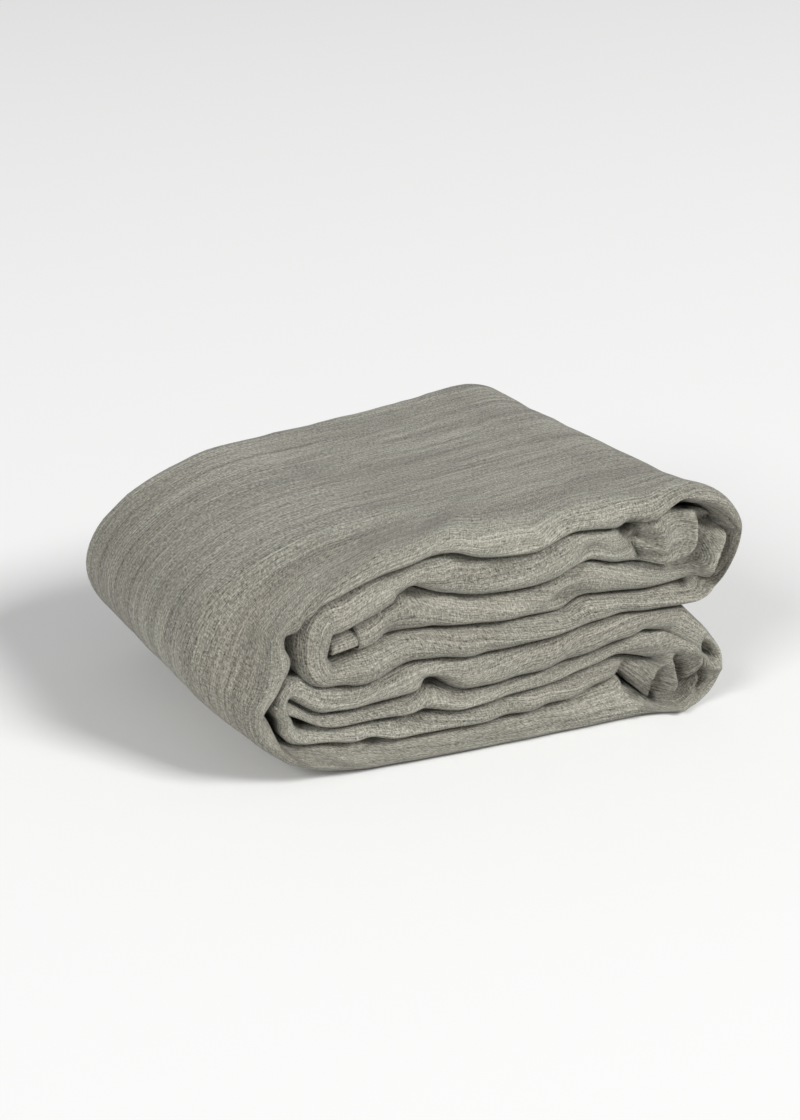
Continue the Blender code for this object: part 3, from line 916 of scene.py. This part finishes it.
def fine_weave(name, dark, pale, pitch, slant, roughness, sheen):
    """Ribs at a pitch in metres. A slant turns them back and forth, as in herringbone."""
    material, tree, shader, uv = woven(name, roughness, sheen)
    place_in_cloth = node(tree, "ShaderNodeSeparateXYZ", Vector=uv)
    zigzag = node(tree, "ShaderNodeMath", {"operation": "PINGPONG"}, _0=place_in_cloth.outputs["Y"],
                  _1=HERRINGBONE_WIDTH)
    lean = node(tree, "ShaderNodeMath", {"operation": "MULTIPLY_ADD"}, _0=zigzag.outputs[0], _1=slant,
                _2=place_in_cloth.outputs["X"])
    turns = node(tree, "ShaderNodeMath", {"operation": "MULTIPLY"}, _0=lean.outputs[0],
                 _1=2 * math.pi / pitch)
    ribs = node(tree, "ShaderNodeMath", {"operation": "SINE"}, _0=turns.outputs[0])
    level = node(tree, "ShaderNodeMapRange", Value=ribs.outputs[0], From_Min=-1.0, From_Max=1.0)
    shade = node(tree, "ShaderNodeValToRGB", Fac=level.outputs[0])
    shade.color_ramp.elements[0].color = linear(dark)
    shade.color_ramp.elements[1].color = linear(pale)
    tree.links.new(shade.outputs["Color"], shader.inputs["Base Color"])
    bump = node(tree, "ShaderNodeBump", Height=level.outputs[0], Strength=0.5, Distance=0.0002)
    tree.links.new(bump.outputs[0], shader.inputs["Normal"])
    return material


TAPE = fine_weave("herringbone_cotton_tape", "A5A192", "C9C5B6", 0.0012, 1.0, 0.9, 0.1)
SATIN = fine_weave("polyester_satin", "DAD7CC", "EFEDE6", 0.0006, 0.0, 0.42, 0.25)
for piece in [face_panel, back_panel, buttonhole_placket, button_placket, closed_end, *side_seams.values()]:
    piece.data.materials.append(CLOTH)


# %% One stitch, and one loop of overlocking that goes round an edge
def thread_item(name, path, radius, sides=5):
    """A short closed tube along a path in millimetres, thinner at its ends."""
    path = np.array(path, float)
    ahead = np.gradient(path, axis=0)
    ahead /= np.linalg.norm(ahead, axis=1)[:, None]
    up = np.cross(ahead, (0.31, 0.0, 1.0) if abs(ahead[0][2]) < 0.9 else (1.0, 0.0, 0.0))
    up /= np.linalg.norm(up, axis=1)[:, None]
    side = np.cross(ahead, up)
    verts, faces = [], []
    for i, centre in enumerate(path):
        r = radius * (0.55 if i in (0, len(path) - 1) else 1.0)
        for k in range(sides):
            a = 2 * math.pi * k / sides
            verts.append((centre + r * (math.cos(a) * up[i] + math.sin(a) * side[i])) * MM)
    for i in range(len(path) - 1):
        for k in range(sides):
            j = (k + 1) % sides
            faces.append((i * sides + k, i * sides + j, (i + 1) * sides + j, (i + 1) * sides + k))
    faces += [tuple(range(sides))[::-1], tuple(range(len(verts) - sides, len(verts)))]
    item = new_piece(name, verts, faces)
    face_outwards(item)
    return item


def face_outwards(obj):
    shape = bmesh.new()
    shape.from_mesh(obj.data)
    bmesh.ops.recalc_face_normals(shape, faces=shape.faces)
    shape.to_mesh(obj.data)
    shape.free()


STITCH_SPACING = 3.4
OVERLOCK_SPACING = 3.2
stitch = thread_item("stitch", [(-1.3, 0, -0.25), (-0.8, 0, 0.12), (0, 0, 0.22), (0.8, 0, 0.12),
                                (1.3, 0, -0.25)], 0.24)
overlock_path = [(-0.5, 3.2, 0.55), (0, 1.6, 0.85), (0.2, 0, 0.75), (0.3, -0.5, 0), (0.5, 0, -0.75),
                 (0.8, 1.6, -0.85), (1.2, 3.2, -0.55)]
overlock_loop = thread_item("overlock_loop", overlock_path, 0.2, sides=4)


# %% The lines that the stitches follow
def line_on_cloth(panel, s_mm, lift):
    """A line across the whole cover at one length along the strip, lifted off the cloth's outside."""
    columns, _ = across(panel, True)
    before, points, after = grid_points(columns, station_at(np.array([s_mm - 1, s_mm, s_mm + 1])))
    normal = np.cross(np.gradient(points, axis=0), after - before)
    normal /= np.linalg.norm(normal, axis=1)[:, None]
    return points + lift * MM * normal, normal


def edge_line(edge, inside):
    """A line along an edge; upright is square to the cloth, with the cloth on its left."""
    tangent = np.gradient(edge, axis=0)
    upright = np.cross(tangent, inside - edge)
    return edge, upright / np.linalg.norm(upright, axis=1)[:, None]


hem_stitches = row_along("buttonhole_placket_stitches", [line_on_cloth("face", HEM_WIDTH - 2, 0.65)],
                         stitch, STITCH_SPACING * MM, THREAD)
seam_threads = {side: row_along(f"side_seam_{side}_thread", [edge_line(*seam_edges[side])], overlock_loop,
                                OVERLOCK_SPACING * MM, THREAD) for side in SIDE_SEAMS}
end_columns, _ = across("face", True)
end_rows = grid_points(end_columns, station_at(np.array([CLOTH_END - 1, CLOTH_END])), squeeze=0.8)
closed_end_thread = row_along("closed_end_thread", [edge_line(end_rows[1], end_rows[0])], overlock_loop,
                              OVERLOCK_SPACING * MM, THREAD)

# %% The buttons, in a row between the plackets
BUTTONS = sorted(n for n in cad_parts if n.startswith("button_") and n[-1].isdigit())
centres = np.array([sum((np.array(c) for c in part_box(n)), np.zeros(3)) / 2 for n in BUTTONS])
button_item = bpy.data.objects.new("button_item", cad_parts[BUTTONS[0]].data.copy())
bpy.context.scene.collection.objects.link(button_item)
shape = bmesh.new()
shape.from_mesh(button_item.data)
bmesh.ops.remove_doubles(shape, verts=shape.verts, dist=1e-6)
bmesh.ops.translate(shape, verts=shape.verts, vec=-Vector(centres[0]))
shape.to_mesh(button_item.data)
shape.free()
button_item.data.materials.clear()
edge = button_item.modifiers.new("moulded_edge", "BEVEL")
edge.width = 0.0004
edge.segments = 2
edge.limit_method = "ANGLE"
bake(button_item)
row_line = [(centres, np.tile([0.0, 0.0, 1.0], (len(centres), 1)))]
button_spacing = float(np.linalg.norm(centres[-1] - centres[0])) / (len(centres) - 1)
buttons = row_along("placket_buttons", row_line, button_item, button_spacing, RESIN, uneven=0.0)
sewing = thread_item("sewing", [(-1.8, 1.8, -1.9), (-1.8, 1.8, 1.3), (-0.9, 0.9, 1.75), (0.9, -0.9, 1.75),
                                (1.8, -1.8, 1.3), (1.8, -1.8, -1.9)], 0.3)
button_threads = row_along("button_threads", row_line, sewing, button_spacing, THREAD, uneven=0.0)
for item in (stitch, overlock_loop, button_item, sewing):
    bpy.data.objects.remove(item)

# %% [markdown]
# ## Ties and label
# Inside a duvet cover, a cotton tie in each corner holds the insert. Folded, the ties lie against the
# back edges, at the height of the two ends of the strip. The blank label is caught in the side seam
# and stands out a little. All five are ribbons: a thin closed section that follows a line.

# %% Ribbons
BACK_EDGE = BACK_Y / MM


def ribbon(name, line, wide, thickness, finish):
    """A thin closed strip: line is its middle and wide its half width, both in millimetres."""
    line, wide = np.array(line, float), np.array(wide, float)
    ahead = np.gradient(line, axis=0)
    normal = np.cross(ahead, wide)
    normal *= thickness / 2 / np.linalg.norm(normal, axis=1)[:, None]
    ring = [line - wide - normal, line + wide - normal, line + wide + normal, line - wide + normal]
    verts = np.stack(ring, axis=1).reshape(-1, 3) * MM
    run = np.concatenate([[0], np.cumsum(np.linalg.norm(np.diff(line, axis=0), axis=1))]) * MM
    half = np.linalg.norm(wide, axis=1) * MM
    uv = np.stack([np.repeat(run, 4), np.stack([-half, half, half, -half], 1).ravel()], -1)
    faces = []
    for i in range(len(line) - 1):
        for k in range(4):
            j = (k + 1) % 4
            faces.append((4 * i + k, 4 * i + j, 4 * i + 4 + j, 4 * i + 4 + k))
    faces += [(3, 2, 1, 0), tuple(len(verts) - 4 + k for k in range(4))]
    piece = new_piece(name, verts, faces, uv)
    piece.data.shade_flat()
    face_outwards(piece)
    piece.data.materials.append(finish)
    return piece


def tie(name, phase, height):
    """A tie along the back edges, over the place that its CAD solid holds."""
    low, high = (np.array(c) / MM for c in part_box(name))
    t = np.linspace(0, 1, 40)
    x = low[0] + (high[0] - low[0]) * t
    y = BACK_EDGE - 3.0 + 4.6 * smooth(t / 0.25) + 0.7 * np.sin(9 * t + phase)
    z = height + 2.2 * np.sin(5 * t + phase) * t
    lean = 0.5 * np.sin(4 * t + phase)
    wide = np.stack([np.zeros_like(t), 3.3 * np.sin(lean), 3.3 * np.cos(lean)], axis=1)
    wide[-4:] *= np.array([0.92, 0.8, 0.62, 0.4])[:, None]
    return ribbon(name + "_tape", np.stack([x, y, z], axis=1), wide, 0.9, TAPE)


TIE_HEIGHTS = {"corner_tie_open_left": 90.0, "corner_tie_open_right": 99.5,
               "corner_tie_closed_left": 36.0, "corner_tie_closed_right": 45.0}
ties = {name: tie(name, 1.3 * i, z) for i, (name, z) in enumerate(TIE_HEIGHTS.items())}

low, high = (np.array(c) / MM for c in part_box("care_label"))
t = np.linspace(0, 1, 16)
out = np.stack([np.full(16, (low[0] + high[0]) / 2), BACK_EDGE - 6.0 + 13.0 * t, 94.0 - 3.0 * t * t],
               axis=1)
half_label = np.tile([(high[0] - low[0]) / 2, 0.0, 0.0], (16, 1))
label = ribbon("blank_care_label", out, half_label, 0.5, SATIN)

# %% [markdown]
# ## Studio
# A pale paper floor, one large soft light in front and on the lobes' side that gives each fold a
# bright crest and a dark crease, a weaker one on the spine's side, and even air light all round.

# %% Floor, camera and light
floor_mesh = bpy.data.meshes.new("studio_floor")
floor_mesh.from_pydata([(-20, -20, 0), (20, -20, 0), (20, 20, 0), (-20, 20, 0)], [], [(0, 1, 2, 3)])
floor = bpy.data.objects.new("studio_floor", floor_mesh)
bpy.context.scene.collection.objects.link(floor)
paper = bpy.data.materials.new("studio_paper")
paper.use_nodes = True
paper.node_tree.nodes["Principled BSDF"].inputs["Base Color"].default_value = linear("EAEAE9")
paper.node_tree.nodes["Principled BSDF"].inputs["Roughness"].default_value = 0.95
floor_mesh.materials.append(paper)

camera_data = bpy.data.cameras.new("camera")
camera = bpy.data.objects.new("camera", camera_data)
bpy.context.scene.collection.objects.link(camera)
camera.location = (-0.7322, -1.2562, 0.7487)
camera.rotation_euler = Vector((0.4601, 0.7872, -0.4107)).to_track_quat("-Z", "Y").to_euler()
camera_data.lens = 74.21
camera_data.sensor_width = 36.0
bpy.context.scene.camera = camera
bpy.context.scene.view_settings.view_transform = "Standard"

world = bpy.data.worlds.new("studio_air")
bpy.context.scene.world = world
world.use_nodes = True
world.node_tree.nodes["Background"].inputs["Color"].default_value = linear("F4F5F6")
world.node_tree.nodes["Background"].inputs["Strength"].default_value = 0.33


def softbox(name, place_at, aim, size, watts):
    light = bpy.data.lights.new(name, "AREA")
    light.shape = "RECTANGLE"
    light.size, light.size_y = size
    light.energy = watts
    lamp = bpy.data.objects.new(name, light)
    lamp.location = place_at
    lamp.rotation_euler = (Vector(aim) - Vector(place_at)).to_track_quat("-Z", "Y").to_euler()
    bpy.context.scene.collection.objects.link(lamp)


softbox("key_softbox", (6.6, -10.1, 9.4), (0, 0, 0.08), (4.6, 4.6), 2150)
softbox("spine_softbox", (-9.0, -4.0, 6.5), (0, 0, 0.08), (5.0, 5.0), 740)

# %% Tie everything to the frame
PARTS = [  # piece, record slot, CAD nodes that it stands for
    (face_panel, "grey_melange_cloth", ["face_panel"]),
    (back_panel, "grey_melange_cloth", ["back_panel"]),
    (buttonhole_placket, "grey_melange_cloth", ["buttonhole_placket"]),
    (button_placket, "grey_melange_cloth", ["button_placket"]),
    (hem_stitches, "overlock_thread", []),
    (side_seams["left"], "overlock_thread", ["side_seam_left"]),
    (side_seams["right"], "overlock_thread", ["side_seam_right"]),
    (seam_threads["left"], "overlock_thread", []),
    (seam_threads["right"], "overlock_thread", []),
    (closed_end, "overlock_thread", ["closed_end_seam"]),
    (closed_end_thread, "overlock_thread", []),
    (buttons, "button_resin", BUTTONS),
    (button_threads, "overlock_thread", []),
    (label, "label_satin", ["care_label"]),
] + [(tape, "cotton_tape", [name]) for name, tape in ties.items()]
for piece, finish, stands_for in PARTS:
    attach(piece, "root")
    if stands_for:
        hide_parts(*stands_for)
